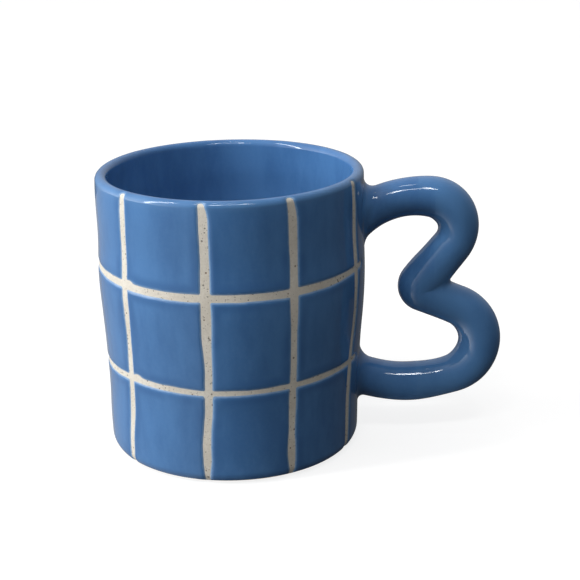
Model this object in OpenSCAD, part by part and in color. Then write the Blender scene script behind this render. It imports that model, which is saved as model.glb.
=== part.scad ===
// Hand-finished stoneware mug with a squiggle coil handle, a bare-clay grid drawn
// through its glaze, and a bare foot. The handle points along +X, the foot stands on
// Z = 0 and the origin is the centre of the foot. All sizes are in millimetres.

/* [Cup] */
// Height of the cup from the table to the top of the lip
cup_h = 90; // [80:1:100]
// Outer radius at the lip
lip_r = 42; // [41.5:0.25:43]
// Radius just above the rounded foot edge
base_r = 40.3; // [39.5:0.1:41]
// Largest radius, two thirds of the way up
belly_r = 42.35; // [42:0.05:43]
// Thickness of the lip, glaze included
lip_t = 3.9; // [3.4:0.1:4.6]
// Thickness of the wall near the floor, glaze included
wall_t = 5; // [4.4:0.1:6]
// Thickness of the floor at its middle, glaze included
floor_t = 6; // [5:0.5:8]
// Radius of the rounding inside between wall and floor
floor_fillet = 9; // [6:1:12]

/* [Foot] */
// Rounding of the outer foot edge
foot_edge = 4; // [3:0.5:5]
// Inner radius of the bare ring that the cup stands on
foot_ring_r = 28; // [24:1:31]
// Depth of the hollow under the cup
foot_hollow = 1.2; // [0.8:0.1:2]

/* [Glaze] */
// Thickness of the glaze coat
glaze_t = 0.4; // [0.3:0.05:0.6]
// Width of the bare upright lines
upright_w = 2.6; // [1.6:0.1:3.4]
// Height of the middle of the lower bare band
band_low_z = 30.8; // [27:0.2:34]
// Height of the middle of the upper bare band
band_high_z = 61.1; // [57:0.1:65]
// Width of the lower bare band
band_low_w = 1.9; // [1.4:0.1:3]
// Width of the upper bare band
band_high_w = 2.4; // [1.4:0.1:3]
// How far the glazed lip reaches down outside, measured from the top
lip_glaze = 2; // [1.5:0.1:4]
// Height of the lower edge of the glaze above the table
glaze_edge_z = 0.8; // [0.5:0.1:1.5]

/* [Handle] */
// Radius of the glazed handle coil
coil_r = 6.45; // [5.8:0.05:6.8]
// Distance of the upper loop's centre from the cup's axis
upper_x = 62; // [61:0.25:64]
// Height of the upper loop's centre
upper_z = 69.5; // [68:0.25:71]
// Bend radius of the upper loop, on the coil's centreline
upper_bend = 10.1; // [9.5:0.1:10.5]
// Distance of the pinched waist's centre from the cup's axis
waist_x = 61.6; // [60.5:0.1:63]
// Height of the pinched waist's centre
waist_z = 50; // [49:0.25:51]
// Bend radius of the pinched waist
waist_bend = 1.9; // [1.5:0.1:3]
// Distance of the lower loop's centre from the cup's axis
lower_x = 66.9; // [65:0.1:68]
// Height of the lower loop's centre
lower_z = 31.6; // [31:0.1:32.5]
// Bend radius of the lower loop
lower_bend = 12.8; // [12:0.1:13.2]
// Radius of the upper arm, from the upper loop to the wall
upper_arm_bend = 29.3; // [27:0.1:32]
// Radius of the lower arm, from the lower loop to the wall
lower_arm_bend = 45; // [42:0.5:50]
// Width of the slip fillets where the coil meets the wall
slip_w = 3.2; // [2.4:0.1:3.6]

/* [Hidden] */
$fn = 96;

clay = [0.80, 0.76, 0.68];
blue = [0.27, 0.45, 0.68];

// Directions of the nine bare upright lines, counter-clockwise from the handle
upright_at = [25, 64.5, 104, 143, 182.5, 222, 261, 297.5, 335];

// Outer glazed wall: height and radius at its turning points, from foot to lip
wall_points = [[foot_edge, base_r], [18, base_r + 0.2], [31, base_r + 0.65], [45, belly_r - 0.5],
               [58, belly_r], [72, lip_r - 0.05], [cup_h - lip_t / 2, lip_r]];

function slope(p, i) =
    i == 0 ? (p[1][1] - p[0][1]) / (p[1][0] - p[0][0])
    : i == len(p) - 1 ? (p[i][1] - p[i - 1][1]) / (p[i][0] - p[i - 1][0])
    : (p[i + 1][1] - p[i - 1][1]) / (p[i + 1][0] - p[i - 1][0]);
function span_of(p, z, i = 0) = i >= len(p) - 2 || z < p[i + 1][0] ? i : span_of(p, z, i + 1);
function hermite(p, i, t) = let (w = p[i + 1][0] - p[i][0])
    (2 * t * t * t - 3 * t * t + 1) * p[i][1] + (t * t * t - 2 * t * t + t) * w * slope(p, i)
    + (-2 * t * t * t + 3 * t * t) * p[i + 1][1] + (t * t * t - t * t) * w * slope(p, i + 1);
// Radius of the glazed wall at height z, rounded foot edge included
function wall_r(z) =
    z < foot_edge ? base_r - foot_edge + sqrt(max(0, foot_edge * foot_edge - pow(foot_edge - z, 2)))
    : let (i = span_of(wall_points, z)) hermite(wall_points, i, (z - wall_points[i][0]) / (wall_points[i + 1][0] - wall_points[i][0]));

lip_z = cup_h - lip_t / 2;           // centre of the half-round lip
lip_c = lip_r - lip_t / 2;
in_top = lip_c - lip_t / 2;          // inner radius at the lip
in_low = base_r + 0.6 - wall_t;      // inner radius above the floor fillet
function in_r(z) = in_low + (in_top - in_low) * pow((z - floor_t) / (lip_z - floor_t), 1.4);

// Steps of a range of heights, ends included
function steps(a, b, n) = [for (i = [0:n]) a + (b - a) * i / n];
// Outer profile between two heights, moved in by d
function outer(a, b, n, d) = [for (z = steps(a, b, n)) [wall_r(z) - d, z]];
// Half-round lip from outside to inside, moved in by d
function lip(d, n = 12) = [for (i = [0:n]) let (a = 180 * i / n)
    [lip_c + (lip_t / 2 - d) * cos(a), lip_z + (lip_t / 2 - d) * sin(a)]];
// Inner wall and floor from the lip down to the axis, moved into the clay by d
fillet_z = floor_t + floor_fillet;
function inner(d) = concat(
    [for (z = steps(lip_z - 2, fillet_z, 12)) [in_r(z) + d, z]],
    [for (i = [1:8]) let (a = 90 * i / 8)
        [in_r(fillet_z) - floor_fillet + (floor_fillet + d) * cos(a), fillet_z - (floor_fillet + d) * sin(a)]],
    [[0, floor_t - d]]);
// Foot edge of the clay: flat ring, then the rounded edge
function foot_curve(d, n = 6) = [for (i = [0:n]) let (a = -90 + 90 * i / n)
    [base_r - foot_edge + (foot_edge - d) * cos(a), foot_edge + (foot_edge - (i == 0 ? 0 : d * i / n)) * sin(a)]];

module body_profile() {
    polygon(concat(
        [[0, foot_hollow], [foot_ring_r - foot_hollow, foot_hollow], [foot_ring_r, 0]],
        foot_curve(glaze_t), outer(foot_edge + 2, lip_z - 1, 24, glaze_t), lip(glaze_t), inner(glaze_t)));
}
module body() {
    color(clay) rotate_extrude() body_profile();
}
// Everything inside the clay's outer surface, or inside the glaze's when d is 0
module filled(d) {
    rotate_extrude() polygon(concat([[0, 0], [base_r - foot_edge, 0]],
        foot_curve(d), outer(foot_edge + 2, lip_z - 1, 24, d), [[lip_r - d, lip_z], [0, lip_z]]));
}

// ---- handle centreline: three loop circles, joined by straight runs and two long arms ----
up_c = [upper_x, upper_z];
wa_c = [waist_x, waist_z];
lo_c = [lower_x, lower_z];
function dir(a) = [cos(a), sin(a)];
function angle_to(a, b) = atan2(b[1] - a[1], b[0] - a[0]);
// Angle on the first circle where the crossing tangent to the second one leaves it
function cross_at(c1, r1, c2, r2, side) = angle_to(c1, c2) + side * acos((r1 + r2) / norm(c2 - c1));
up_leave = cross_at(up_c, upper_bend, wa_c, waist_bend, 1);
lo_leave = cross_at(lo_c, lower_bend, wa_c, waist_bend, -1);
up_join = 81.5;                      // where the upper arm meets the upper loop
lo_join = -71;                       // where the lower arm meets the lower loop
up_arm_c = up_c - (upper_arm_bend - upper_bend) * dir(up_join);
lo_arm_c = lo_c - (lower_arm_bend - lower_bend) * dir(lo_join);
root_x = 41;                         // the coil ends inside the wall, and is cut to it
// Where an arm's circle comes back to the wall
function root_angle(c, r) = 180 - acos((c[0] - root_x) / r);
up_root = root_angle(up_arm_c, upper_arm_bend) + 6;
lo_root = -root_angle(lo_arm_c, lower_arm_bend) - 4;
up_root_z = up_arm_c[1] + sqrt(pow(upper_arm_bend, 2) - pow(lip_r - up_arm_c[0], 2));
lo_root_z = lo_arm_c[1] - sqrt(pow(lower_arm_bend, 2) - pow(lip_r - lo_arm_c[0], 2));

// A bend of the coil about centre c, from angle a to angle b, in the XZ plane
module bend(c, rb, a, b, r) {
    translate([c[0], 0, c[1]]) rotate([90, 0, 0]) mirror([0, 0, 1])
        rotate_extrude(angle = b - a, start = a)
            if (rb > r) translate([rb, 0]) circle(r);
            else intersection() {
                translate([rb, 0]) circle(r);
                translate([0.1, -r - 1]) square([rb + r + 1, 2 * r + 2]);
            }
}
// The runs and arms reach this far into the loops, and are a hair thinner, so that all join into one solid
lap = 0.2;
hair = 0.03;
// A straight run of the coil from p to q, lapped at both ends
module run(p, q, r) {
    along = (q - p) / norm(q - p);
    translate([p[0] - lap * along[0], 0, p[1] - lap * along[1]])
        rotate([0, 90 - atan2(along[1], along[0]), 0])
            cylinder(h = norm(q - p) + 2 * lap, r = r - hair);
}
module coil(r) {
    bend(up_arm_c, upper_arm_bend, up_join - lap / upper_arm_bend * 180 / PI, up_root, r - hair);
    bend(up_c, upper_bend, up_leave, up_join, r);
    run(up_c + upper_bend * dir(up_leave), wa_c - waist_bend * dir(up_leave), r);
    bend(wa_c, waist_bend, up_leave + 180, lo_leave + 180, r);
    run(wa_c - waist_bend * dir(lo_leave), lo_c + lower_bend * dir(lo_leave), r);
    bend(lo_c, lower_bend, lo_join, lo_leave, r);
    bend(lo_arm_c, lower_arm_bend, lo_root, lo_join + lap / lower_arm_bend * 180 / PI, r - hair);
}

// Slip fillet: a flared collar from the wall to the coil, centred at height z and leaning by tilt
module flare(z, tilt, r) {
    for (k = [0:2]) hull() {
        translate([lip_r - 4, 0, z - 4 * tan(tilt)]) rotate([0, 90, 0])
            cylinder(h = 3.6 + [0, 0.7, 1.9][k], r = r + [slip_w, slip_w * 0.55, slip_w * 0.22][k], $fn = 40);
        translate([lip_r + [0.5, 1.4, 2.8][k], 0, z + [0.5, 1.4, 2.8][k] * tan(tilt)]) rotate([0, 90 - tilt, 0])
            cylinder(h = 0.4, r = r + [slip_w * 0.5, slip_w * 0.24, 0.1][k], $fn = 40);
    }
}
up_tilt = 35;
lo_tilt = -19;
// The fillets end and the coil's own glaze begins on this plane
joint_x = lip_r + 2.8;
module joint_side() { translate([joint_x - 60, -30, -10]) cube([60, 60, cup_h + 20]); }

module handle() {
    color(clay) difference() { coil(coil_r - glaze_t); filled(glaze_t); }
}
module upper_handle_joint() {
    color(blue) difference() {
        intersection() { flare(up_root_z - 0.6, up_tilt, coil_r); joint_side(); }
        coil(coil_r - glaze_t);
        filled(glaze_t);
    }
}
module lower_handle_joint() {
    color(blue) difference() {
        intersection() { flare(lo_root_z, lo_tilt, coil_r); joint_side(); }
        coil(coil_r - glaze_t);
        filled(glaze_t);
    }
}
module handle_glaze() {
    color(blue) difference() {
        coil(coil_r);
        coil(coil_r - glaze_t);
        joint_side();
    }
}

module rim_and_liner_glaze() {
    color(blue) rotate_extrude() polygon(concat(
        [for (z = [cup_h - lip_glaze]) [wall_r(z), z]], lip(0), inner(0),
        [for (i = [len(inner(0)) - 1:-1:0]) inner(glaze_t)[i]],
        [for (i = [12:-1:0]) lip(glaze_t)[i]],
        [[wall_r(cup_h - lip_glaze) - glaze_t, cup_h - lip_glaze]]));
}
// One row of panels between two heights: one separate panel between each pair of upright lines
module panel_row(a, b, n) {
    half = upright_w / 2 / lip_r * 180 / PI;
    profile = concat(outer(a, b, n, 0), [for (z = steps(b, a, n)) [wall_r(z) - glaze_t, z]]);
    for (i = [0:len(upright_at) - 1]) {
        from = upright_at[i] + half;
        to = (i == len(upright_at) - 1 ? upright_at[0] + 360 : upright_at[i + 1]) - half;
        rotate_extrude(angle = to - from, start = from) polygon(profile);
    }
}
module upper_glaze_panels() {
    color(blue) difference() {
        panel_row(band_high_z + band_high_w / 2, cup_h - lip_glaze, 8);
        flare(up_root_z - 0.6, up_tilt, coil_r);
    }
}
module middle_glaze_panels() {
    color(blue) panel_row(band_low_z + band_low_w / 2, band_high_z - band_high_w / 2, 9);
}
module lower_glaze_panels() {
    color(blue) difference() {
        panel_row(glaze_edge_z, band_low_z - band_low_w / 2, 10);
        flare(lo_root_z, lo_tilt, coil_r);
    }
}

body();
handle();
upper_handle_joint();
lower_handle_joint();
rim_and_liner_glaze();
upper_glaze_panels();
middle_glaze_panels();
lower_glaze_panels();
handle_glaze();
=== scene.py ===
import math

import bpy
import numpy as np
from mathutils import Matrix, Vector


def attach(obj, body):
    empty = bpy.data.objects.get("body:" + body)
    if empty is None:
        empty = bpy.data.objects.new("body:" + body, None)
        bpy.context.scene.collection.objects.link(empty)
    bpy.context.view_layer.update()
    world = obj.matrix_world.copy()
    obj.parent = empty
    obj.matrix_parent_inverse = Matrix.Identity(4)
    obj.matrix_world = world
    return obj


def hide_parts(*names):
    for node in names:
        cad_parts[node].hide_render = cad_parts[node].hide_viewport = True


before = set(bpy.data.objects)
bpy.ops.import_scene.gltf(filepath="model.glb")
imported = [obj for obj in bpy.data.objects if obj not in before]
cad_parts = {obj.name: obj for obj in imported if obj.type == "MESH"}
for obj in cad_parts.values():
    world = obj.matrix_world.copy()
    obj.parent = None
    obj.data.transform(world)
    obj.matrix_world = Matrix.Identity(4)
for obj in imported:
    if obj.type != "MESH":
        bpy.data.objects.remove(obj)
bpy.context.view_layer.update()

MM = 0.001

# ---------------------------------------------------------------- the cup's form
# Glazed profile, in millimetres: height and radius of the outer wall above the rounded foot edge.
WALL_Z = np.array([4.0, 11.0, 18.0, 31.5, 45.0, 58.5, 72.0, 85.5, 88.08])
WALL_R = np.array([40.3, 40.46, 40.52, 40.94, 41.85, 42.35, 41.92, 42.04, 41.98])
LIP_C, LIP_Z, LIP_T = 40.06, 88.08, 1.92
FOOT_C, FOOT_R = 36.3, 4.0
FLOOR_Z, FLOOR_FILLET = 6.0, 8.5
GLAZE = 0.26


def hermite(xk, yk, x):
    """Smooth curve through the points, flat past the ends."""
    x = np.clip(x, xk[0], xk[-1])
    m = np.gradient(yk, xk)
    i = np.clip(np.searchsorted(xk, x, side="right") - 1, 0, len(xk) - 2)
    w = xk[i + 1] - xk[i]
    t = (x - xk[i]) / w
    return ((2 * t**3 - 3 * t**2 + 1) * yk[i] + (t**3 - 2 * t**2 + t) * w * m[i]
            + (-2 * t**3 + 3 * t**2) * yk[i + 1] + (t**3 - t**2) * w * m[i + 1])


def inner_r(z):
    return 36.0 + 2.14 * ((z - FLOOR_Z) / (LIP_Z - FLOOR_Z)) ** 1.5


def make_profile():
    """Glazed profile from the foot ring's outer edge over the lip to the middle of the floor."""
    a = np.radians(np.linspace(-90, 0, 40))
    pts = [np.c_[FOOT_C + FOOT_R * np.cos(a), FOOT_R + FOOT_R * np.sin(a)]]
    z = np.linspace(4.0, LIP_Z, 500)[1:]
    pts.append(np.c_[hermite(WALL_Z, WALL_R, z), z])
    a = np.radians(np.linspace(0, 180, 60))[1:]
    pts.append(np.c_[LIP_C + LIP_T * np.cos(a), LIP_Z + LIP_T * np.sin(a)])
    z = np.linspace(LIP_Z, FLOOR_Z + FLOOR_FILLET, 400)[1:]
    pts.append(np.c_[inner_r(z), z])
    r0 = inner_r(FLOOR_Z + FLOOR_FILLET) - FLOOR_FILLET
    a = np.radians(np.linspace(0, 90, 60))[1:]
    pts.append(np.c_[r0 + FLOOR_FILLET * np.cos(a), FLOOR_Z + FLOOR_FILLET - FLOOR_FILLET * np.sin(a)])
    r = np.linspace(r0, 0.0, 120)[1:]
    pts.append(np.c_[r, FLOOR_Z - 0.25 * (1 - (r / r0) ** 2)])
    p = np.vstack(pts)
    s = np.r_[0, np.cumsum(np.hypot(*np.diff(p, axis=0).T))]
    n = np.gradient(p, s, axis=0)
    n = np.c_[n[:, 1], -n[:, 0]]
    n /= np.linalg.norm(n, axis=1)[:, None]
    return p, s, n


PROF, PROF_S, PROF_N = make_profile()
CREST = PROF_S[np.argmax(PROF[:, 1])]
S_END = PROF_S[-1]


def prof_at(s):
    r = np.interp(s, PROF_S, PROF[:, 0])
    z = np.interp(s, PROF_S, PROF[:, 1])
    nr = np.interp(s, PROF_S, PROF_N[:, 0])
    nz = np.interp(s, PROF_S, PROF_N[:, 1])
    k = np.hypot(nr, nz)
    return r, z, nr / k, nz / k


def s_of_z(z):
    """Place on the outer profile at height z."""
    m = PROF_S <= CREST
    return np.interp(z, PROF[m, 1], PROF_S[m])


def wobble(theta, z):
    """Hand-made unevenness of the wall, in millimetres. theta is in degrees."""
    t = np.radians(theta)
    up = np.clip(z / 90.0, 0, 1)
    lean = np.clip(1 - z / 48.0, 0, 1)
    lean = lean * lean * (3 - 2 * lean)
    return (-0.50 * np.cos(t) * lean + 0.10 * np.sin(2 * t + 0.7) * (0.4 + 0.6 * up) + 0.07 * np.sin(3 * t - 1.1 + 1.6 * up)
            + 0.05 * np.sin(5 * t + 2.0 * up + 0.4) + 0.05 * np.sin(2 * math.pi * z / 23.0 + 1.5 * np.sin(t + 0.5)))


# ---------------------------------------------------------------- the bare lines
def line(*knots):
    k = np.array(sorted(knots), float)
    return k


# Each upright line: height, direction in degrees (0 towards the camera's side, -Y, and 90 the handle) and width.
UPRIGHTS = [
    line((0, -52.9, 1.3), (4, -52.4, 1.8), (10, -51.6, 2.0), (17, -50.5, 2.2), (26, -49.5, 2.2), (34, -48.9, 2.1), (42, -48.1, 1.9), (50, -47.9, 2.1), (58, -47.9, 2.4), (72, -47.9, 2.2), (81, -47.5, 2.3), (89.7, -47.2, 1.9)),
    line((0, -11.5, 1.0), (2.5, -11.4, 1.5), (8, -11.0, 2.5), (12, -10.9, 2.6), (18, -10.5, 2.3), (26, -9.4, 2.4), (34, -9.0, 2.2), (40, -8.8, 2.3), (48, -8.9, 2.9), (55, -8.8, 3.1), (62, -8.7, 2.9), (70, -8.7, 2.7), (80, -8.6, 2.65), (86.5, -8.9, 2.5), (89.7, -9.6, 1.7)),
    line((0, 27.0, 1.0), (3, 26.9, 1.7), (8, 26.7, 2.5), (17, 27.0, 2.1), (25, 27.3, 2.3), (33, 27.6, 2.1), (41, 27.7, 2.0), (49, 27.7, 2.1), (57, 27.7, 2.6), (63, 27.9, 2.7), (69, 28.1, 2.5), (77, 28.0, 2.8), (84, 27.8, 2.8), (89.7, 26.9, 2.1)),
    line((0, 64.0, 1.9), (10, 64.3, 2.2), (18, 64.7, 2.4), (26, 65.1, 2.5), (34, 65.7, 2.3), (42, 66.9, 2.0), (50, 67.6, 2.2), (58, 68.0, 2.6), (66, 67.6, 2.6), (74, 66.7, 2.3), (81, 66.3, 2.2), (89.5, 65.6, 1.9)),
    line((0, 115.2, 2.0), (12, 115.0, 2.4), (24, 114.3, 2.2), (38, 114.0, 2.4), (52, 114.9, 2.1), (66, 115.6, 2.5), (78, 115.4, 2.4), (88.3, 115.0, 2.0)),
    line((0, 153.6, 2.2), (10, 153.9, 2.4), (22, 154.6, 2.1), (36, 155.0, 2.5), (48, 154.6, 2.3), (62, 153.9, 2.6), (76, 154.3, 2.3), (88.6, 154.8, 2.1)),
    line((0, 194.9, 1.9), (11, 194.6, 2.3), (24, 194.1, 2.4), (37, 193.6, 2.1), (51, 193.9, 2.5), (64, 194.5, 2.7), (77, 194.2, 2.4), (88.2, 193.8, 2.1)),
    line((0, 232.2, 2.3), (12, 232.5, 2.1), (25, 233.1, 2.5), (39, 233.5, 2.2), (53, 233.2, 2.4), (65, 232.6, 2.6), (78, 232.9, 2.2), (88.7, 233.3, 2.0)),
    line((0, 271.6, 2.0), (11, 271.9, 2.2), (24, 272.6, 2.3), (38, 273.2, 2.1), (50, 273.0, 2.3), (63, 272.4, 2.5), (76, 272.6, 2.3), (88.1, 272.9, 2.1)),
]
# Each band: direction, height and width, right round from one side of the handle to the other.
BANDS = [
    np.array([(-252, 31.4, 1.6), (-225, 30.9, 1.9), (-200, 31.2, 2.0), (-165, 30.4, 1.8), (-130, 30.6, 2.1), (-100, 30.1, 2.0), (-76, 30.1, 2.0), (-55, 30.7, 2.0),
              (-43, 30.9, 1.95), (-28, 30.7, 1.8), (-13, 30.5, 1.7), (3, 30.6, 1.55), (15, 30.8, 1.5), (27, 31.0, 1.6), (35, 31.1, 1.8), (47, 31.1, 1.7), (58, 31.1, 1.6), (72, 31.1, 1.4)]),
    np.array([(-254, 61.0, 1.8), (-225, 61.5, 2.2), (-195, 61.2, 2.3), (-160, 61.6, 2.1), (-125, 61.3, 2.3), (-95, 61.7, 2.2), (-66, 61.8, 2.1), (-50, 61.5, 2.3), (-35, 61.1, 2.3),
              (-15, 61.0, 2.4), (0, 61.05, 2.3), (15, 61.0, 2.3), (30, 61.1, 2.4), (42, 61.2, 2.3), (55, 61.3, 2.0), (65, 61.5, 1.7), (74, 61.6, 1.4)]),
]
BAND_MEAN = (30.8, 61.2)
# Small overruns of wax beside the crossings: direction, height, half length, half height.
OVERRUNS = [(-45.0, 62.5, 1.5, 0.75), (-44.6, 32.0, 1.5, 0.6), (-9.4, 29.4, 1.2, 0.5), (113.0, 62.3, 1.3, 0.6), (196.0, 29.9, 1.4, 0.6), (156.0, 62.6, 1.1, 0.5)]


def jitter(t, seed, amp):
    """Small smooth unevenness along a length t, in millimetres."""
    rs = np.random.RandomState(seed)
    out = np.zeros_like(t, dtype=float)
    for f, a in ((1 / 17.0, 1.0), (1 / 7.3, 0.45), (1 / 3.1, 0.22), (1 / 1.4, 0.12)):
        out += a * np.sin(2 * math.pi * f * (1 + 0.1 * rs.rand()) * t + 2 * math.pi * rs.rand())
    return amp * out / 1.6


def upright_at(i, z):
    k = UPRIGHTS[i]
    return (hermite(k[:, 0], k[:, 1], z) + jitter(z, 10 + i, 0.05), hermite(k[:, 0], k[:, 2], z))


def smin(a, b, k):
    h = np.clip(0.5 + 0.5 * (b - a) / k, 0, 1)
    return b + (a - b) * h - k * h * (1 - h)


def glaze_distance(az, s):
    """Signed distance in millimetres from the nearest bare line, positive on the glaze. az is in degrees, s along the outer profile."""
    r, z, _, _ = prof_at(s)
    dist = np.full(np.shape(az), 50.0)
    d_up = dist.copy()
    for i in range(len(UPRIGHTS)):
        c, w = upright_at(i, z)
        gap = (az - c + 180.0) % 360.0 - 180.0
        across = gap * math.pi / 180 * np.maximum(r, 30)
        side = np.where(across > 0, 1, 0)
        half = w / 2 + np.where(side, jitter(z, 40 + i, 0.07), jitter(z, 70 + i, 0.07))
        top = s_of_z(UPRIGHTS[i][-1, 0]) - 0.9
        past = np.maximum(s - top, 0)
        d_up = np.minimum(d_up, np.hypot(across, past * 1.0) - half * np.where(s > top, 1.0, 1.0))
    out = d_up
    for j, b in enumerate(BANDS):
        a = (az - 106.0) % 360.0 + 106.0 - 360.0      # -254 .. 106
        zc = hermite(b[:, 0], b[:, 1], a) + jitter(a * 0.73, 100 + j, 0.06)
        w = hermite(b[:, 0], b[:, 2], a)
        lo, hi = b[0, 0], b[-1, 0]
        beyond = np.maximum(np.maximum(a - hi, lo - a), 0) * math.pi / 180 * 42
        beyond = np.minimum(beyond, np.maximum(np.abs((az - lo + 180) % 360 - 180), 0) * math.pi / 180 * 42 + 99 * (np.abs((az - lo + 180) % 360 - 180) > 60))
        half = w / 2 + np.where(z > zc, jitter(a * 0.73, 130 + j, 0.07), jitter(a * 0.73, 150 + j, 0.07))
        d = np.hypot(z - zc, beyond) - half
        out = smin(out, d, 0.7)
    for a0, z0, ra, rz in OVERRUNS:
        u = ((az - a0 + 180) % 360 - 180) * 0.73
        k = np.hypot(u / ra, (z - z0) / rz)
        out = smin(out, (k - 1) * rz, 0.5)
    foot = s - (2.3 + 0.25 * np.sin(np.radians(az * 3 + 20)) + 0.15 * np.sin(np.radians(az * 7)))
    out = smin(out, foot, 0.6)
    return out


def coat(d):
    """Height of the glaze's surface over the clay at distance d from a bare line."""
    t = np.clip((d + 0.22) / 1.45, 0, 1)
    rise = 1 - (1 - t) ** 2.0
    return -0.10 + (GLAZE + 0.10) * rise + 0.02 * np.exp(-((d - 1.8) / 0.9) ** 2) * (d > 0)


def place(az, s, lift):
    """Points on the profile at direction az and place s, lifted from the glazed surface along its normal."""
    r, z, nr, nz = prof_at(s)
    keep = np.clip(r / 20.0, 0, 1)
    theta = az - 90.0
    r = r + wobble(theta, z) * keep + nr * lift
    z = z + nz * lift
    t = np.radians(theta)
    return np.stack([r * np.cos(t), r * np.sin(t), z], -1)


# ---------------------------------------------------------------- the handle's form
UP_C, UP_R = np.array([61.97, 69.47]), 10.14
WA_C, WA_R = np.array([61.64, 50.0]), 1.88
LO_C, LO_R = np.array([66.92, 31.6]), 12.79
UA_R, LA_R = 29.34, 45.1
UP_JOIN, LO_JOIN = 81.5, -71.0


def unit(a):
    return np.array([math.cos(math.radians(a)), math.sin(math.radians(a))])


def cross_at(c1, r1, c2, r2, side):
    d = c2 - c1
    return math.degrees(math.atan2(d[1], d[0])) + side * math.degrees(math.acos((r1 + r2) / np.hypot(*d)))


UP_LEAVE = cross_at(UP_C, UP_R, WA_C, WA_R, 1)
LO_LEAVE = cross_at(LO_C, LO_R, WA_C, WA_R, -1)
UA_C = UP_C - (UA_R - UP_R) * unit(UP_JOIN)
LA_C = LO_C - (LA_R - LO_R) * unit(LO_JOIN)
MID = (UP_LEAVE + LO_LEAVE) / 2 + 180
# (kind, centre or start, radius or end, first angle, last angle), from the upper root to the lower root
PATH_A = [("arc", UA_C, UA_R, 142.0, UP_JOIN), ("arc", UP_C, UP_R, UP_JOIN, UP_LEAVE),
          ("run", UP_C + UP_R * unit(UP_LEAVE), WA_C - WA_R * unit(UP_LEAVE)), ("arc", WA_C, WA_R, UP_LEAVE + 180, MID)]
PATH_B = [("arc", WA_C, WA_R, MID, LO_LEAVE + 180), ("run", WA_C - WA_R * unit(LO_LEAVE), LO_C + LO_R * unit(LO_LEAVE)),
          ("arc", LO_C, LO_R, LO_LEAVE, LO_JOIN), ("arc", LA_C, LA_R, LO_JOIN, -117.0)]


def piece_length(p):
    return np.hypot(*(p[2] - p[1])) if p[0] == "run" else abs(p[4] - p[3]) * math.pi / 180 * p[2]


COIL_S = np.array([0, 8, 14, 20, 26, 32, 38, 44, 50, 56, 64, 72, 80, 88, 96, 106, 116, 126, 136, 146, 156, 168, 180], float)
COIL_R = np.array([6.35, 6.25, 6.1, 6.1, 6.3, 6.5, 6.62, 6.55, 6.42, 6.55, 6.85, 6.45, 6.45, 6.65, 6.78, 6.6, 6.25, 6.3, 6.3, 6.38, 6.5, 6.8, 7.2])


def coil_distance(x, y, z):
    """Distance from the coil's surface, with a soft crease on the outer side of the pinched waist, and the place along the coil."""
    best = []
    s0 = 0.0
    for path in (PATH_A, PATH_B):
        dist = np.full(x.shape, 1e3)
        place_s = np.zeros(x.shape)
        for p in path:
            ln = piece_length(p)
            if p[0] == "run":
                a, b = p[1], p[2]
                u = (b - a) / ln
                t = np.clip((x - a[0]) * u[0] + (z - a[1]) * u[1], 0, ln)
                d = np.sqrt((x - a[0] - t * u[0]) ** 2 + (z - a[1] - t * u[1]) ** 2 + y**2)
            else:
                c, r, a0, a1 = p[1:]
                lo, hi = min(a0, a1), max(a0, a1)
                mid = (lo + hi) / 2
                ang = np.degrees(np.arctan2(z - c[1], x - c[0]))
                ang = (ang - mid + 180) % 360 - 180 + mid
                ang = np.clip(ang, lo, hi)
                qx = c[0] + r * np.cos(np.radians(ang))
                qz = c[1] + r * np.sin(np.radians(ang))
                d = np.sqrt((x - qx) ** 2 + (z - qz) ** 2 + y**2)
                t = np.abs(ang - a0) * math.pi / 180 * r
            m = d < dist
            dist = np.where(m, d, dist)
            place_s = np.where(m, s0 + t, place_s)
            s0 += ln
        best.append((dist, place_s))
    (da, sa), (db, sb) = best
    lump_a = 0.09 * np.sin(sa / 5.1 + 0.6) + 0.06 * np.sin(sa / 2.9 + 2.0 + y * 0.2)
    lump_b = 0.09 * np.sin(sb / 5.1 + 0.6) + 0.06 * np.sin(sb / 2.9 + 2.0 + y * 0.2)
    da = da - (hermite(COIL_S, COIL_R, sa) + lump_a)
    db = db - (hermite(COIL_S, COIL_R, sb) + lump_b)
    k = 0.02 + 1.9 * np.clip((x - WA_C[0] - 0.5) / 5.0, 0, 1) ** 1.5
    return smin(da, db, k), np.where(da < db, sa, sb)


COIL_LEN = sum(piece_length(p) for p in PATH_A + PATH_B)


def wall_distance(x, y, z):
    theta = np.degrees(np.arctan2(y, x))
    return np.hypot(x, y) - (hermite(WALL_Z, WALL_R, z) + wobble(theta, z))


def handle_field(x, y, z, inset=0.0):
    """Distance from the handle with its slip fillets; the wall itself lies a hair under its glaze."""
    d1, _ = coil_distance(x, y, z)
    d1 = d1 + inset
    d2 = wall_distance(x, y, z) + 0.04 + inset
    high = z > 48
    zc = np.where(high, 74.3 + (x - 42) * 0.66, 19.3 - (x - 42) * 0.3)
    above = np.clip((z - zc) / 8 + 0.5, 0, 1)
    above = above * above * (3 - 2 * above)
    f = np.where(high, 1.6 * (1 - above) + 4.4 * above, 2.4 * (1 - above) + 3.9 * above)
    a, b = np.maximum(f - d1, 0), np.maximum(f - d2, 0)
    return np.where((d1 < f) & (d2 < f), f - np.sqrt(a * a + b * b), np.minimum(d1, d2)), d1, d2, f


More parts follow.
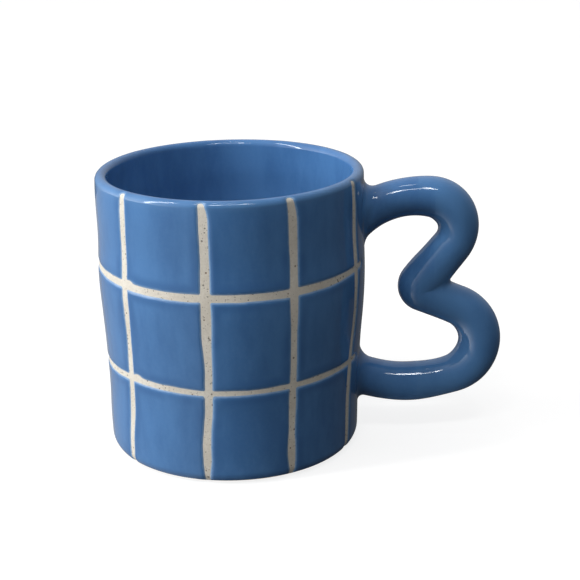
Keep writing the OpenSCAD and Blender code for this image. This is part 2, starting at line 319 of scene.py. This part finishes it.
def surface_nets(inset, step=0.5):
    """Quads on the handle's surface, each corner moved onto it exactly, with its true normal."""
    lo = np.array([39.0, -15.0, 3.0])
    n = np.array([int(50 / step), int(30 / step), int(90 / step)])
    ax = [lo[k] + step * np.arange(n[k]) for k in range(3)]
    X, Y, Z = np.meshgrid(*ax, indexing="ij")
    V = handle_field(X, Y, Z, inset)[0]
    neg = V < 0
    cell = np.zeros(n - 1, bool)
    c8 = [neg[i:n[0] - 1 + i, j:n[1] - 1 + j, k:n[2] - 1 + k] for i in (0, 1) for j in (0, 1) for k in (0, 1)]
    total = sum(c.astype(int) for c in c8)
    cell = (total > 0) & (total < 8)
    index = -np.ones(cell.shape, int)
    index[cell] = np.arange(cell.sum())
    ii = np.argwhere(cell)
    P = lo + step * (ii + 0.5)
    e = 0.02

    def grad(p):
        g = []
        for k in range(3):
            d = np.zeros(3)
            d[k] = e
            g.append((handle_field(*(p + d).T, inset)[0] - handle_field(*(p - d).T, inset)[0]) / (2 * e))
        return np.stack(g, -1)

    for _ in range(4):
        g = grad(P)
        f = handle_field(*P.T, inset)[0]
        move = -(f / np.maximum((g * g).sum(1), 0.2))[:, None] * g
        size = np.linalg.norm(move, axis=1)
        move *= (np.minimum(size, 0.4) / np.maximum(size, 1e-9))[:, None]
        P = P + move
    quads = []
    for k in range(3):
        a, b = [m for m in range(3) if m != k]
        sl0, sl1 = [slice(None)] * 3, [slice(None)] * 3
        sl0[k], sl1[k] = slice(0, n[k] - 1), slice(1, n[k])
        cross = neg[tuple(sl0)] != neg[tuple(sl1)]
        inner = [slice(None)] * 3
        inner[a], inner[b] = slice(1, n[a] - 1), slice(1, n[b] - 1)
        m = np.zeros_like(cross)
        m[tuple(inner)] = cross[tuple(inner)]
        at = np.argwhere(m)
        first = neg[tuple(sl0)][m]
        corners = []
        for da, db in ((0, 0), (1, 0), (1, 1), (0, 1)):
            q = at.copy()
            q[:, a] -= da
            q[:, b] -= db
            corners.append(index[q[:, 0], q[:, 1], q[:, 2]])
        q = np.stack(corners, 1)
        turn = first if k != 1 else ~first
        q[turn] = q[turn][:, ::-1]
        quads.append(q)
    Q = np.vstack(quads)
    Q = Q[(Q >= 0).all(1)]
    G = grad(P)
    N = G / np.linalg.norm(G, axis=1)[:, None]
    # turn every face to its normals
    fn = np.cross(P[Q[:, 2]] - P[Q[:, 0]], P[Q[:, 3]] - P[Q[:, 1]])
    flip = (fn * N[Q].mean(1)).sum(1) < 0
    Q[flip] = Q[flip][:, ::-1]
    return P, Q, N


def make_object(name, P, F, N=None, attributes=None, smooth=True):
    """A mesh object from points in millimetres, faces, point normals and point attributes."""
    used = np.unique(np.concatenate([np.ravel(f) for f in F])) if isinstance(F, list) else np.unique(F)
    new = -np.ones(len(P), int)
    new[used] = np.arange(len(used))
    faces = [new[np.asarray(f)].tolist() for f in F] if isinstance(F, list) else new[F].tolist()
    mesh = bpy.data.meshes.new(name)
    mesh.from_pydata((P[used] * MM).tolist(), [], faces)
    for key, val in (attributes or {}).items():
        att = mesh.attributes.new(key, "FLOAT", "POINT")
        att.data.foreach_set("value", np.asarray(val)[used].astype(np.float32))
    mesh.polygons.foreach_set("use_smooth", [smooth] * len(mesh.polygons))
    mesh.update()
    if N is not None:
        mesh.normals_split_custom_set_from_vertices(N[used].tolist())
    ob = bpy.data.objects.new(name, mesh)
    bpy.context.scene.collection.objects.link(ob)
    return ob


def grid_normals(G, closed=True):
    """Normals of a grid of points, rows along the first axis, wrapped along the second."""
    du = np.gradient(G, axis=0)
    if closed:
        dv = (np.roll(G, -1, 1) - np.roll(G, 1, 1)) / 2
    else:
        dv = np.gradient(G, axis=1)
    n = np.cross(dv, du)
    k = np.linalg.norm(n, axis=-1, keepdims=True)
    return n / np.maximum(k, 1e-12)


def grid_faces(rows, cols, closed=True):
    r = np.arange(rows - 1)[:, None]
    c = np.arange(cols if closed else cols - 1)[None, :]
    d = (c + 1) % cols
    return np.stack([r * cols + c, r * cols + d, (r + 1) * cols + d, (r + 1) * cols + c], -1).reshape(-1, 4)


# ---------------------------------------------------------------- glaze coats over the wall
def dense(spots, lo, hi, near, reach, far):
    """Values from lo to hi, near apart within reach of each spot and far apart elsewhere."""
    out = [lo]
    while out[-1] < hi:
        x = out[-1]
        gap = min(abs(x - s) for s in spots)
        step = near if gap < reach else min(far, near + (gap - reach) * 0.35)
        out.append(x + step)
    out = np.array(out[:-1] + [hi])
    return out


S_H2, S_H1 = s_of_z(BAND_MEAN[0]), s_of_z(BAND_MEAN[1])
S_TOP = s_of_z(87.6)
rows_v = dense([2.3, S_H2, S_H1], 1.2, S_TOP - 4.5, 0.16, 2.6, 0.8)
rows_v = np.concatenate([rows_v, np.arange(S_TOP - 4.5 + 0.22, CREST - 0.05, 0.22), [CREST]])
# the bands' middles are rows themselves, so that the coats part there
for spot in (S_H2, S_H1):
    rows_v[np.argmin(np.abs(rows_v - spot))] = spot
R_H2, R_H1 = int(np.argmin(np.abs(rows_v - S_H2))), int(np.argmin(np.abs(rows_v - S_H1)))

means = np.array([k[:, 1].mean() for k in UPRIGHTS])
order = np.argsort(means)
seg_cols = []
for q in range(len(order)):
    i, j = order[q], order[(q + 1) % len(order)]
    span = (means[j] - means[i]) % 360.0
    mm_span = span * math.pi / 180 * 42
    t = dense([0, mm_span], 0, mm_span, 0.17, 2.4, 0.8)[:-1] / mm_span
    seg_cols += [(i, j, x) for x in t]
col_i = np.array([c[0] for c in seg_cols])
col_j = np.array([c[1] for c in seg_cols])
col_t = np.array([c[2] for c in seg_cols])


def band_offset(j, az):
    b = BANDS[j]
    a = (az - 106.0) % 360.0 + 106.0 - 360.0
    return hermite(b[:, 0], b[:, 1], a) - BAND_MEAN[j]


def columns_at(s):
    """Directions of the grid's columns at place s, which follow the upright lines."""
    _, z, _, _ = prof_at(s)
    cs = [upright_at(i, z)[0] for i in range(len(UPRIGHTS))]
    a, b = np.zeros(s.shape), np.zeros(s.shape)
    for i in range(len(UPRIGHTS)):
        a = np.where(col_i[None, :] == i, cs[i], a)
        b = np.where(col_j[None, :] == i, cs[i], b)
    b = a + (b - a) % 360.0
    return a + (b - a) * col_t[None, :]


nominal = means[col_i] + ((means[col_j] - means[col_i]) % 360.0) * col_t
knots = [rows_v[0], S_H2, S_H1, S_TOP]
o2, o1 = band_offset(0, nominal), band_offset(1, nominal)
v = rows_v[:, None]
shift = np.where(v < S_H2, o2 * np.clip((v - knots[0]) / (S_H2 - knots[0]), 0, 1),
                 np.where(v < S_H1, o2 + (o1 - o2) * (v - S_H2) / (S_H1 - S_H2), o1 * np.clip((S_TOP - 5 - v) / (S_TOP - 5 - S_H1), 0, 1)))
s_grid = v + shift
az_grid = columns_at(s_grid)
dist_grid = glaze_distance(az_grid, s_grid)
lift_grid = coat(dist_grid) - GLAZE
outer_grid = place(az_grid, s_grid, lift_grid)
outer_n = grid_normals(outer_grid)
cols = outer_grid.shape[1]
n_rows = outer_grid.shape[0]

faces_all = grid_faces(n_rows, cols)
flat_d = dist_grid.ravel()
row_of = faces_all[:, 0] // cols
keep = flat_d[faces_all].max(1) > -0.45
pts, nrm = outer_grid.reshape(-1, 3), outer_n.reshape(-1, 3)
s_flat = s_grid.ravel()
lip_break = np.exp(-((s_flat - (CREST - 2.2)) / 1.5) ** 2)


COAT_DEPTH = 0.36


def coat_solid(name, P, F, N, attributes, cap=None):
    """A closed coat: the outer quads, the same quads turned over COAT_DEPTH further in, and a wall round every open edge."""
    F = np.asarray(F)
    size = len(P)
    e = np.concatenate([F[:, [k, (k + 1) % 4]] for k in range(4)])
    if cap is not None:
        c = np.asarray(cap)
        e = np.concatenate([e, np.stack([c, np.roll(c, -1)], 1)])
    key = e.min(1).astype(np.int64) * size + e.max(1)
    _, first, count = np.unique(key, return_index=True, return_counts=True)
    rim = e[first[count == 1]]
    wall = np.stack([rim[:, 1], rim[:, 0], rim[:, 0] + size, rim[:, 1] + size], 1)
    faces = np.concatenate([F, F[:, ::-1] + size, wall]).tolist()
    if cap is not None:
        faces += [list(cap), [k + size for k in cap][::-1]]
    return make_object(name, np.concatenate([P, P - N * COAT_DEPTH]), faces, np.concatenate([N, -N]),
                       {k: np.tile(v, 2) for k, v in attributes.items()})


att = {"edge": flat_d, "lip": lip_break}
pieces = {}
for name, lo, hi in (("glaze_panels_bottom", 0, R_H2), ("glaze_panels_middle", R_H2, R_H1), ("glaze_panels_top", R_H1, n_rows)):
    m = keep & (row_of >= lo) & (row_of < hi)
    pieces[name] = coat_solid(name, pts, faces_all[m], nrm, att)

# ---------------------------------------------------------------- lip and liner
s_in = np.concatenate([np.arange(CREST, CREST + 6, 0.34), np.arange(CREST + 6, S_END - 45, 2.4), np.arange(S_END - 45, S_END - 0.8, 1.2), [S_END - 0.2]])
az_in = np.repeat(az_grid[-1:, :], len(s_in), 0)
in_grid = place(az_in, np.repeat(s_in[:, None], cols, 1), 0.0)
# soft throwing rings inside and a slow spiral on the floor
rr = np.hypot(in_grid[..., 0], in_grid[..., 1])
th = np.arctan2(in_grid[..., 1], in_grid[..., 0])
rise = np.clip((86 - in_grid[..., 2]) / 10, 0, 1) * np.clip((in_grid[..., 2] - 14) / 10, 0, 1)
in_grid[..., :2] *= (1 + 0.11 * rise * np.sin(2 * math.pi * in_grid[..., 2] / 12.5 + th + 0.6) / rr)[..., None]
in_grid[..., 2] += 0.10 * np.sin(rr / 1.9 * math.pi + th) * np.clip(rr / 6, 0, 1) * np.clip((34 - rr) / 8, 0, 1) * (in_grid[..., 2] < 12)
in_n = grid_normals(in_grid)
in_n[0] = outer_n[-1]
P = in_grid.reshape(-1, 3)
pieces["glaze_liner"] = coat_solid("glaze_liner", P, grid_faces(len(s_in), cols), in_n.reshape(-1, 3),
                                   {"edge": np.full(len(P), 20.0), "lip": np.exp(-((np.repeat(s_in, cols) - (CREST - 2.2)) / 1.5) ** 2)},
                                   [(len(s_in) - 1) * cols + k for k in range(cols)])

# ---------------------------------------------------------------- clay body
az_c = np.linspace(-180, 180, 481)[:-1]
s_c = np.concatenate([np.arange(0.0, 6, 0.35), np.arange(6, CREST - 3, 1.0), np.arange(CREST - 3, CREST + 4, 0.4), np.arange(CREST + 4, S_END - 1.0, 2.4), [S_END - 0.2]])
AZ, SS = np.meshgrid(az_c, s_c)
clay = place(AZ, SS, -GLAZE * np.clip(SS / 3.0, 0, 1) - 0.0)
# underside: ring, then a soft step up into the hollow, rings left by the tool
under_r = np.array([35.6, 34.5, 33.0, 31.0, 29.5, 28.6, 28.1, 27.7, 27.2, 26.6, 25.5, 23, 20, 17, 14, 11, 8, 5, 2.5, 0.6])
under_z = np.array([0.0, 0.0, 0.0, 0.0, 0.03, 0.15, 0.4, 0.75, 1.0, 1.15, 1.2, 1.22, 1.25, 1.2, 1.25, 1.2, 1.25, 1.22, 1.2, 1.2])
t = np.radians(az_c - 90)
under = np.stack([under_r[::-1, None] * np.cos(t), under_r[::-1, None] * np.sin(t), np.repeat(under_z[::-1, None], len(t), 1)], -1)
clay = np.concatenate([under, clay], 0)
P = clay.reshape(-1, 3)
nc = len(az_c)
F = grid_faces(clay.shape[0], nc).tolist()
F.append([(clay.shape[0] - 1) * nc + k for k in range(nc)])
F.append([k for k in range(nc)][::-1])
pieces["clay_body"] = make_object("clay_body", P, F, grid_normals(clay).reshape(-1, 3))

# ---------------------------------------------------------------- handle, its slip joints and its clay core
P, Q, N = surface_nets(0.0)
_, d1, d2, f = handle_field(*P.T)
_, along = coil_distance(*P.T)
near = (d1 < f + 0.25) & (d2 > -0.5)
Q = Q[near[Q].all(1)]
# outer side of each loop, where the glaze runs thinner
outside = np.zeros(len(P))
for c, r in ((UP_C, UP_R), (LO_C, LO_R)):
    rho = np.hypot(P[:, 0] - c[0], P[:, 2] - c[1])
    outside = np.maximum(outside, np.clip((rho - r - 1.0) / 5.0, 0, 1) * (P[:, 0] > c[0] - 3))
hatt = {"edge": np.full(len(P), 20.0), "lip": outside * 0.55}
mid = P[Q].mean(1)
joint = mid[:, 0] < 47.2
for name, m in (("upper_joint", joint & (mid[:, 2] > 48)), ("lower_joint", joint & (mid[:, 2] <= 48)), ("glaze_handle", ~joint)):
    pieces[name] = coat_solid(name, P, Q[m], N, hatt)
Pc, Qc, Nc = surface_nets(GLAZE, 0.7)
_, d1, d2, f = handle_field(*Pc.T, GLAZE)
near = (d1 < f + 0.25) & (d2 > -2.5)
coil = Qc[near[Qc].all(1)]
e = np.concatenate([coil[:, [k, (k + 1) % 4]] for k in range(4)])
_, first, count = np.unique(e.min(1).astype(np.int64) * len(Pc) + e.max(1), return_index=True, return_counts=True)
rim = e[first[count == 1]]
# both open ends lie in the wall, and a fan to a point further in closes each
coil_faces = coil.tolist()
for end in (Pc[rim[:, 0], 2] > 45, Pc[rim[:, 0], 2] <= 45):
    middle = Pc[rim[end, 0]].mean(0) - [2.0, 0, 0]
    coil_faces += [[b, a, len(Pc)] for a, b in rim[end].tolist()]
    Pc = np.concatenate([Pc, [middle]])
    Nc = np.concatenate([Nc, [[-1.0, 0, 0]]])
pieces["clay_coil"] = make_object("clay_coil", Pc, coil_faces, Nc)


# ---------------------------------------------------------------- materials
def tree(name):
    m = bpy.data.materials.new(name)
    m.use_nodes = True
    nt = m.node_tree
    nt.nodes.clear()
    out = nt.nodes.new("ShaderNodeOutputMaterial")
    b = nt.nodes.new("ShaderNodeBsdfPrincipled")
    nt.links.new(b.outputs[0], out.inputs[0])
    return m, nt, b


def node(nt, kind, **values):
    n = nt.nodes.new(kind)
    for k, val in values.items():
        if k.startswith("_"):
            setattr(n, k[1:], val)
        else:
            n.inputs[k].default_value = val
    return n


def coords(nt):
    return nt.nodes.new("ShaderNodeTexCoord").outputs["Object"]


def noise(nt, vec, scale, detail=3.0, rough=0.55):
    n = node(nt, "ShaderNodeTexNoise", Scale=scale, Detail=detail, Roughness=rough)
    nt.links.new(vec, n.inputs["Vector"])
    return n.outputs["Fac"]


def ramp(nt, fac, stops):
    n = nt.nodes.new("ShaderNodeValToRGB")
    el = n.color_ramp.elements
    while len(el) < len(stops):
        el.new(0.5)
    for e, (p, c) in zip(el, stops):
        e.position = p
        e.color = (c, c, c, 1) if isinstance(c, (int, float)) else (*c, 1)
    nt.links.new(fac, n.inputs["Fac"])
    return n.outputs["Color"]


def maths(nt, op, a, b=None, clamp=False):
    n = node(nt, "ShaderNodeMath", _operation=op, _use_clamp=clamp)
    for k, val in enumerate((a, b)):
        if val is None:
            continue
        if isinstance(val, (int, float)):
            n.inputs[k].default_value = val
        else:
            nt.links.new(val, n.inputs[k])
    return n.outputs[0]


def remap(nt, val, a, b, c, d):
    n = nt.nodes.new("ShaderNodeMapRange")
    n.interpolation_type = "SMOOTHSTEP"
    nt.links.new(val, n.inputs["Value"])
    for k, x in (("From Min", a), ("From Max", b), ("To Min", c), ("To Max", d)):
        n.inputs[k].default_value = x
    return n.outputs["Result"]


def mix(nt, fac, a, b, kind="MIX"):
    n = nt.nodes.new("ShaderNodeMix")
    n.data_type = "RGBA"
    n.blend_type = kind
    for key, val in (("Factor", fac), ("A", a), ("B", b)):
        sock = [s for s in n.inputs if s.name == key and (s.type == "RGBA" or key == "Factor" and s.type == "VALUE")][0]
        if isinstance(val, (int, float)):
            sock.default_value = val
        elif isinstance(val, tuple):
            sock.default_value = (*val, 1)
        else:
            nt.links.new(val, sock)
    return [o for o in n.outputs if o.type == "RGBA"][0]


def attribute(nt, name):
    return node(nt, "ShaderNodeAttribute", _attribute_name=name).outputs["Fac"]


def specks(nt, vec, scale, size, share, warp=0.0):
    """Round specks: 1 inside, 0 outside. share is the part of the cells that hold one."""
    v = node(nt, "ShaderNodeTexVoronoi", Scale=scale)
    v.feature = "F1"
    nt.links.new(vec, v.inputs["Vector"])
    sep = nt.nodes.new("ShaderNodeSeparateColor")
    nt.links.new(v.outputs["Color"], sep.inputs[0])
    chosen = maths(nt, "LESS_THAN", sep.outputs[0], share)
    grown = maths(nt, "MULTIPLY", sep.outputs[1], size)
    grown = maths(nt, "ADD", grown, size * 0.35)
    dist = v.outputs["Distance"]
    inside = remap(nt, maths(nt, "SUBTRACT", dist, grown), -size * 0.35, size * 0.1, 1.0, 0.0)
    return maths(nt, "MULTIPLY", inside, chosen, clamp=True)


BLUE = (0.078, 0.210, 0.455)
DEEP = (0.048, 0.144, 0.346)
PALE = (0.255, 0.405, 0.610)
TEAL = (0.101, 0.246, 0.480)


def glaze_material():
    m, nt, b = tree("blue_glaze")
    vec = coords(nt)
    edge, lip = attribute(nt, "edge"), attribute(nt, "lip")
    tall = nt.nodes.new("ShaderNodeMapping")
    tall.inputs["Scale"].default_value = (1.0, 1.0, 0.38)
    nt.links.new(vec, tall.inputs["Vector"])
    cloud = noise(nt, tall.outputs[0], 75.0, 4.0, 0.6)
    fine = noise(nt, vec, 900.0, 2.0, 0.6)
    base = mix(nt, remap(nt, cloud, 0.34, 0.66, 0.0, 0.7), BLUE, DEEP)
    base = mix(nt, remap(nt, fine, 0.35, 0.75, 0.0, 0.025), base, PALE)
    # glaze pooled a little way in from the bare lines
    band = maths(nt, "MULTIPLY", remap(nt, edge, 0.5, 1.3, 0.0, 1.0), remap(nt, edge, 1.6, 4.2, 1.0, 0.0))
    band = maths(nt, "MULTIPLY", band, remap(nt, noise(nt, vec, 60.0, 2.0), 0.35, 0.65, 0.15, 0.75))
    base = mix(nt, band, base, DEEP)
    # thin edge where the clay shows through
    wave = maths(nt, "ADD", edge, maths(nt, "MULTIPLY", maths(nt, "SUBTRACT", noise(nt, vec, 500.0, 2.0), 0.5), 0.5))
    base = mix(nt, remap(nt, wave, 0.0, 0.75, 0.85, 0.0), base, PALE)
    # glaze breaks paler over the lip and thinner on the outer bends
    breaks = maths(nt, "MULTIPLY", lip, remap(nt, noise(nt, vec, 120.0, 3.0), 0.3, 0.7, 0.35, 0.75), clamp=True)
    base = mix(nt, breaks, base, TEAL)
    dots = specks(nt, vec, 210.0, 0.055, 0.045)
    base = mix(nt, maths(nt, "MULTIPLY", dots, 0.75), base, (0.03, 0.035, 0.05))
    nt.links.new(base, b.inputs["Base Color"])
    rough = remap(nt, noise(nt, vec, 260.0, 3.0), 0.3, 0.7, 0.03, 0.06)
    rough = maths(nt, "ADD", rough, remap(nt, edge, 0.0, 1.3, 0.32, 0.0))
    nt.links.new(rough, b.inputs["Roughness"])
    b.inputs["IOR"].default_value = 1.5
    bump = node(nt, "ShaderNodeBump", Strength=0.18, Distance=0.0004)
    h = maths(nt, "ADD", maths(nt, "MULTIPLY", noise(nt, vec, 160.0, 2.0), 0.7), maths(nt, "MULTIPLY", noise(nt, vec, 700.0, 2.0), 0.03))
    nt.links.new(h, bump.inputs["Height"])
    nt.links.new(bump.outputs[0], b.inputs["Normal"])
    return m


def clay_material():
    m, nt, b = tree("stoneware_clay")
    vec = coords(nt)
    cloud = noise(nt, vec, 70.0, 4.0, 0.6)
    grain = noise(nt, vec, 1500.0, 3.0, 0.7)
    base = mix(nt, remap(nt, cloud, 0.3, 0.7, 0.0, 1.0), (0.800, 0.757, 0.672), (0.698, 0.650, 0.562))
    base = mix(nt, remap(nt, grain, 0.35, 0.7, 0.0, 0.35), base, (0.55, 0.49, 0.40))
    small = specks(nt, vec, 850.0, 0.22, 0.50)
    tiny = specks(nt, vec, 1500.0, 0.26, 0.45)
    large = specks(nt, vec, 400.0, 0.13, 0.15)
    dark = maths(nt, "MAXIMUM", maths(nt, "MULTIPLY", small, 0.78), large)
    dark = maths(nt, "MAXIMUM", dark, maths(nt, "MULTIPLY", tiny, 0.45))
    rust = mix(nt, remap(nt, noise(nt, vec, 330.0, 1.0), 0.42, 0.6, 0.0, 1.0), (0.06, 0.052, 0.045), (0.16, 0.095, 0.055))
    base = mix(nt, dark, base, rust)
    nt.links.new(base, b.inputs["Base Color"])
    b.inputs["Roughness"].default_value = 0.78
    b.inputs["Specular IOR Level"].default_value = 0.35
    bump = node(nt, "ShaderNodeBump", Strength=0.5, Distance=0.00025)
    h = maths(nt, "ADD", noise(nt, vec, 1100.0, 4.0, 0.7), maths(nt, "MULTIPLY", noise(nt, vec, 260.0, 2.0), 0.6))
    h = maths(nt, "SUBTRACT", h, maths(nt, "MULTIPLY", dark, 0.5))
    nt.links.new(h, bump.inputs["Height"])
    nt.links.new(bump.outputs[0], b.inputs["Normal"])
    return m


glaze_m, clay_m = glaze_material(), clay_material()
STANDS_FOR = {
    "clay_body": ["body"], "clay_coil": ["handle"], "upper_joint": ["upper_handle_joint"], "lower_joint": ["lower_handle_joint"],
    "glaze_handle": ["handle_glaze"], "glaze_liner": ["rim_and_liner_glaze"], "glaze_panels_top": ["upper_glaze_panels"],
    "glaze_panels_middle": ["middle_glaze_panels"], "glaze_panels_bottom": ["lower_glaze_panels"],
}
for name, ob in pieces.items():
    is_clay = name.startswith("clay")
    ob.data.materials.append(clay_m if is_clay else glaze_m)
    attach(ob, "root")
    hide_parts(*STANDS_FOR[name])

# ---------------------------------------------------------------- table top, light and camera
mesh = bpy.data.meshes.new("table_top")
mesh.from_pydata([(-6, -6, 0), (6, -6, 0), (6, 6, 0), (-6, 6, 0)], [], [(0, 1, 2, 3)])
table = bpy.data.objects.new("table_top", mesh)
bpy.context.scene.collection.objects.link(table)
m, nt, b = tree("pale_table")
b.inputs["Base Color"].default_value = (0.86, 0.86, 0.86, 1)
b.inputs["Roughness"].default_value = 0.9
b.inputs["Specular IOR Level"].default_value = 0.1
mesh.materials.append(m)
table.visible_glossy = False
table.visible_diffuse = False
b.inputs["Base Color"].default_value = (0.30, 0.30, 0.30, 1)
b.inputs["Emission Color"].default_value = (1, 1, 1, 1)
b.inputs["Emission Strength"].default_value = 0.80

scene = bpy.context.scene
world = bpy.data.worlds.new("studio")
scene.world = world
world.use_nodes = True
wt = world.node_tree
bg = wt.nodes["Background"]
bg.inputs["Color"].default_value = (1, 1, 1, 1)


def heading(az, el):
    """Unit vector from the mug: az from the camera's side towards the handle, el above the table, in degrees."""
    a, e = math.radians(az), math.radians(el)
    return Vector((math.sin(a) * math.cos(e), -math.cos(a) * math.cos(e), math.sin(e)))


# A plain studio's walls and ceiling: light above the table's edge, dim below it, brighter towards the window side.
WALLS_ABOVE, WALLS_BELOW = 0.08, 0.06
# (name, direction, height, tightness, strength) of each broad patch of light
ROOM = [("left_back", -110, 25, 4.0, 0.45), ("left_front", -72, 40, 8.0, 1.15), ("left_low", -84, -15, 5.0, 4.0),
        ("back_right", 145, 35, 4.0, 0.40), ("back", -170, 35, 4.0, 0.35), ("ceiling", 0, 90, 3.0, 0.16)]
looking = wt.nodes.new("ShaderNodeTexCoord").outputs["Generated"]


def lobe(axis, power, amount, label):
    n = wt.nodes.new("ShaderNodeVectorMath")
    n.operation = "DOT_PRODUCT"
    wt.links.new(looking, n.inputs[0])
    n.inputs[1].default_value = axis
    v = maths(wt, "POWER", maths(wt, "MAXIMUM", n.outputs["Value"], 0.0), power)
    out = wt.nodes.new("ShaderNodeMath")
    out.operation = "MULTIPLY"
    out.label = label
    wt.links.new(v, out.inputs[0])
    out.inputs[1].default_value = amount
    return out.outputs[0]


up = wt.nodes.new("ShaderNodeSeparateXYZ")
wt.links.new(looking, up.inputs[0])
walls = wt.nodes.new("ShaderNodeMapRange")
walls.label = "walls"
for key, val in (("From Min", -0.06), ("From Max", 0.06), ("To Min", WALLS_BELOW), ("To Max", WALLS_ABOVE)):
    walls.inputs[key].default_value = val
wt.links.new(up.outputs[2], walls.inputs["Value"])
glow = walls.outputs[0]
for label, az, el, power, amount in ROOM:
    glow = maths(wt, "ADD", glow, lobe(heading(az, el), power, amount, label))
wt.links.new(glow, bg.inputs["Strength"])


def softbox(name, az, el, distance, width, height, radiance, aim=(0.01, 0, 0.045)):
    light = bpy.data.lights.new(name, "AREA")
    light.shape = "RECTANGLE"
    light.size, light.size_y = width, height
    light.energy = math.pi * width * height * radiance
    ob = bpy.data.objects.new(name, light)
    ob.location = Vector(aim) + heading(az, el) * distance
    ob.rotation_euler = (ob.location - Vector(aim)).to_track_quat("Z", "Y").to_euler()
    scene.collection.objects.link(ob)
    return ob


softbox("key_left", -70, 34, 1.1, 0.11, 1.05, 18.0)
softbox("front_strip", 3, 57, 0.95, 0.52, 0.075, 11.0)
softbox("front_end_left", -13, 55, 0.95, 0.07, 0.13, 15.0)
softbox("front_end_right", 19, 59, 0.95, 0.07, 0.13, 15.0)
softbox("overhead", -20, 85, 0.9, 0.16, 0.045, 11.0)

# a white card lying on the left, whose near edge runs from the mug towards the camera's left
mesh = bpy.data.meshes.new("white_card")
mesh.from_pydata([(-0.002, 0.0, -0.001), (-0.002, 0.3, -0.001), (-0.75, 0.3, -0.001), (-0.75, -0.6, -0.001), (-0.162, -0.6, -0.001)], [], [(0, 1, 2, 3, 4)])
card = bpy.data.objects.new("white_card", mesh)
scene.collection.objects.link(card)
m, nt, b = tree("white_card")
b.inputs["Base Color"].default_value = (0.0, 0.0, 0.0, 1)
b.inputs["Specular IOR Level"].default_value = 0.0
b.inputs["Emission Color"].default_value = (1, 1, 1, 1)
b.inputs["Emission Strength"].default_value = 0.42
mesh.materials.append(m)
card.visible_camera = False
card.visible_shadow = False

C = Vector((0.018345, -0.426866, 0.194044))
right = Vector((0.99984849, -0.00559216, -0.01648419))
up = Vector((0.01740691, 0.32121205, 0.9468473))
back = Vector((0.0, -0.94699078, 0.32126073))
cam = bpy.data.cameras.new("camera")
cam.lens, cam.sensor_width, cam.sensor_fit = 86.9, 36.0, "HORIZONTAL"
cam.clip_start, cam.clip_end = 0.01, 50
camera = bpy.data.objects.new("camera", cam)
camera.matrix_world = Matrix(((right.x, up.x, back.x, C.x), (right.y, up.y, back.y, C.y), (right.z, up.z, back.z, C.z), (0, 0, 0, 1)))
scene.collection.objects.link(camera)
scene.camera = camera
scene.view_settings.view_transform = "Standard"
scene.view_settings.look = "None"
scene.view_settings.exposure = 0.0
scene.view_settings.gamma = 1.0
